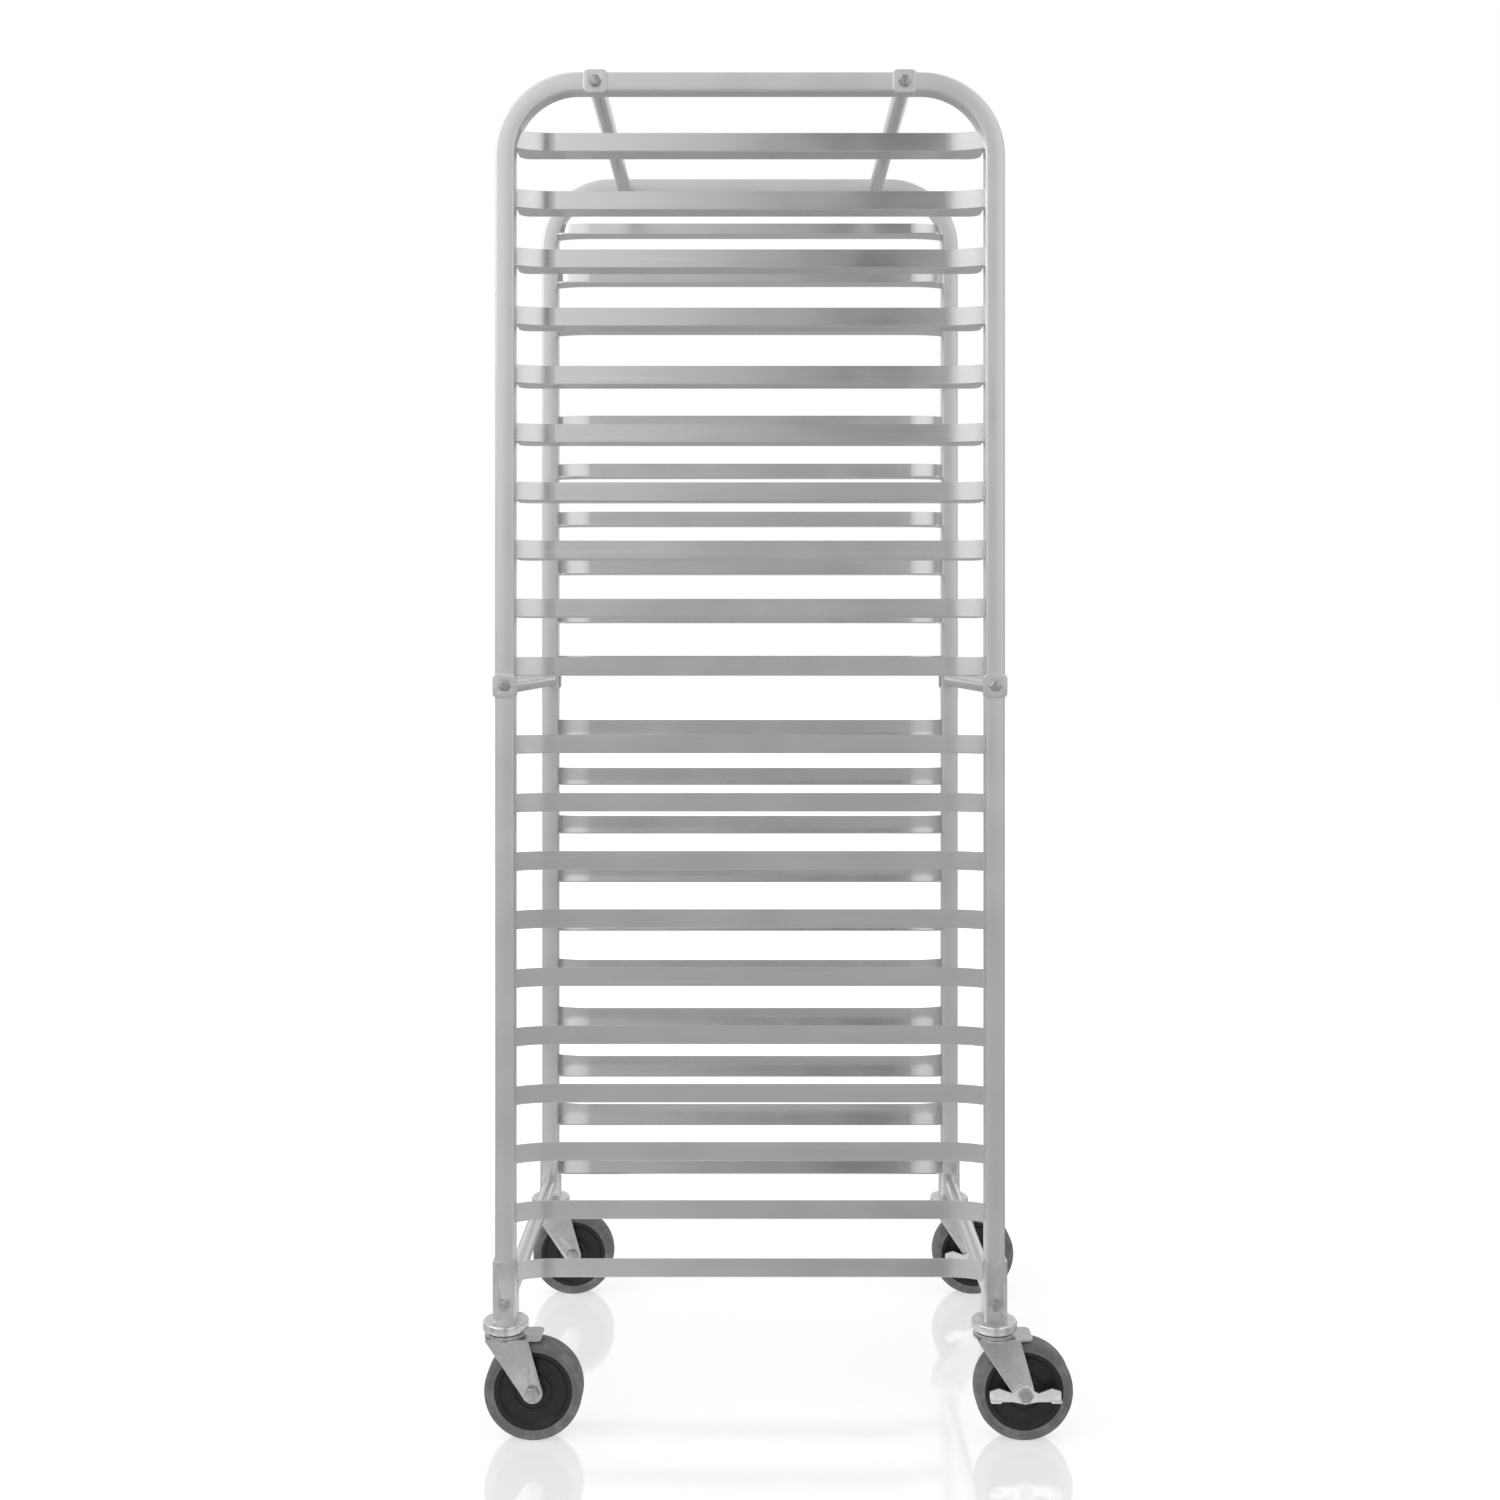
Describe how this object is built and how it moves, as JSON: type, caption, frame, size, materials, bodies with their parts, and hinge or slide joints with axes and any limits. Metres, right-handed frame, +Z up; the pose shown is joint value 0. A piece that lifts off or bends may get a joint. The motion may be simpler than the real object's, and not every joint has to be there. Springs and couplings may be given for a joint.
{
  "type": "sheet pan rack",
  "caption": "Tall open aluminium rack on swivel casters: bent-tube side frames carry flared angle runners that hold full-size sheet pans, with round cross tubes between them.",
  "frame": {"origin": "on the floor, at the centre of the four legs", "axes": "+Z up; +X along the 26 in side, the way pans slide in, towards the two braked casters; +Y across the rack from the near side frame to the far one"},
  "size_m": [0.7652, 0.5544, 1.7725],
  "materials": {
    "tube_aluminium": "satin, drawn along the tube",
    "runner_aluminium": "mill finish, drawn along the runner",
    "cross_tube_aluminium": "satin",
    "saddle_aluminium": "satin, pressed",
    "zinc_plated_steel": "bright zinc plated",
    "bolt_steel": "bright zinc plated",
    "bearing_steel": "polished",
    "core_plastic": "moulded, semi-matte",
    "tread_rubber": "grey, non-marking"
  },
  "bodies": {
    "frame": {"side_frame_near": "tube_aluminium", "side_frame_far": "tube_aluminium", "runners_tier_01": "runner_aluminium", "runners_tier_02": "runner_aluminium", "runners_tier_03": "runner_aluminium", "runners_tier_04": "runner_aluminium", "runners_tier_05": "runner_aluminium", "runners_tier_06": "runner_aluminium", "runners_tier_07": "runner_aluminium", "runners_tier_08": "runner_aluminium", "runners_tier_09": "runner_aluminium", "runners_tier_10": "runner_aluminium", "runners_tier_11": "runner_aluminium", "runners_tier_12": "runner_aluminium", "runners_tier_13": "runner_aluminium", "runners_tier_14": "runner_aluminium", "runners_tier_15": "runner_aluminium", "runners_tier_16": "runner_aluminium", "runners_tier_17": "runner_aluminium", "runners_tier_18": "runner_aluminium", "runners_tier_19": "runner_aluminium", "runners_tier_20": "runner_aluminium", "cross_tube_top_left": "cross_tube_aluminium", "cross_tube_top_right": "cross_tube_aluminium", "cross_tube_middle_left": "cross_tube_aluminium", "cross_tube_middle_right": "cross_tube_aluminium", "cross_tube_bottom_left": "cross_tube_aluminium", "cross_tube_bottom_right": "cross_tube_aluminium", "cross_tube_plugs": "saddle_aluminium", "frame_saddles": "saddle_aluminium", "frame_bolts": "bolt_steel", "socket_bolts": "bolt_steel", "leg_socket_near_left": "zinc_plated_steel", "leg_socket_near_right": "zinc_plated_steel", "leg_socket_far_left": "zinc_plated_steel", "leg_socket_far_right": "zinc_plated_steel", "swivel_cups": "zinc_plated_steel", "kingpins": "bolt_steel", "swivel_balls": "bearing_steel"},
    "swivel_near_left": {"fork_near_left": "zinc_plated_steel", "axle_near_left": "bolt_steel"},
    "wheel_near_left": {"wheel_core_near_left": "core_plastic", "tyre_near_left": "tread_rubber"},
    "swivel_near_right": {"fork_near_right": "zinc_plated_steel", "axle_near_right": "bolt_steel"},
    "wheel_near_right": {"wheel_core_near_right": "core_plastic", "tyre_near_right": "tread_rubber"},
    "lever_near_right": {"brake_lever_near_right": "zinc_plated_steel"},
    "brake_near_right": {"brake_plate_near_right": "zinc_plated_steel"},
    "swivel_far_left": {"fork_far_left": "zinc_plated_steel", "axle_far_left": "bolt_steel"},
    "wheel_far_left": {"wheel_core_far_left": "core_plastic", "tyre_far_left": "tread_rubber"},
    "swivel_far_right": {"fork_far_right": "zinc_plated_steel", "axle_far_right": "bolt_steel"},
    "wheel_far_right": {"wheel_core_far_right": "core_plastic", "tyre_far_right": "tread_rubber"},
    "lever_far_right": {"brake_lever_far_right": "zinc_plated_steel"},
    "brake_far_right": {"brake_plate_far_right": "zinc_plated_steel"}
  },
  "joints": [
    {"name": "swivel_near_left", "type": "hinge", "parent": "frame", "child": "swivel_near_left", "pos_m": [-0.3175, -0.2445, 0.1378], "axis": [0, 0, 1], "continuous": true},
    {"name": "wheel_spin_near_left", "type": "hinge", "parent": "swivel_near_left", "child": "wheel_near_left", "pos_m": [-0.2805, -0.2445, 0.0635], "axis": [0, 1, 0], "continuous": true},
    {"name": "swivel_near_right", "type": "hinge", "parent": "frame", "child": "swivel_near_right", "pos_m": [0.3175, -0.2445, 0.1378], "axis": [0, 0, 1], "continuous": true},
    {"name": "wheel_spin_near_right", "type": "hinge", "parent": "swivel_near_right", "child": "wheel_near_right", "pos_m": [0.3545, -0.2445, 0.0635], "axis": [0, 1, 0], "continuous": true},
    {"name": "brake_lever_near_right", "type": "hinge", "parent": "swivel_near_right", "child": "lever_near_right", "pos_m": [0.3545, -0.2445, 0.0635], "axis": [0, 1, 0], "range_deg": [0, 25]},
    {"name": "brake_plate_near_right", "type": "slide", "parent": "swivel_near_right", "child": "brake_near_right", "axis": [0, 1, 0], "range_m": [0, 0.0008]},
    {"name": "swivel_far_left", "type": "hinge", "parent": "frame", "child": "swivel_far_left", "pos_m": [-0.3175, 0.2445, 0.1378], "axis": [0, 0, 1], "continuous": true},
    {"name": "wheel_spin_far_left", "type": "hinge", "parent": "swivel_far_left", "child": "wheel_far_left", "pos_m": [-0.2805, 0.2445, 0.0635], "axis": [0, 1, 0], "continuous": true},
    {"name": "swivel_far_right", "type": "hinge", "parent": "frame", "child": "swivel_far_right", "pos_m": [0.3175, 0.2445, 0.1378], "axis": [0, 0, 1], "continuous": true},
    {"name": "wheel_spin_far_right", "type": "hinge", "parent": "swivel_far_right", "child": "wheel_far_right", "pos_m": [0.3545, 0.2445, 0.0635], "axis": [0, 1, 0], "continuous": true},
    {"name": "brake_lever_far_right", "type": "hinge", "parent": "swivel_far_right", "child": "lever_far_right", "pos_m": [0.3545, 0.2445, 0.0635], "axis": [0, 1, 0], "range_deg": [0, 25]},
    {"name": "brake_plate_far_right", "type": "slide", "parent": "swivel_far_right", "child": "brake_far_right", "axis": [0, 1, 0], "range_m": [0, 0.0008]}
  ],
  "couplings": [
    {"joint": "brake_plate_near_right", "follows": "brake_lever_near_right", "m_per_rad": 0.001833},
    {"joint": "brake_plate_far_right", "follows": "brake_lever_far_right", "m_per_rad": 0.001833}
  ]
}
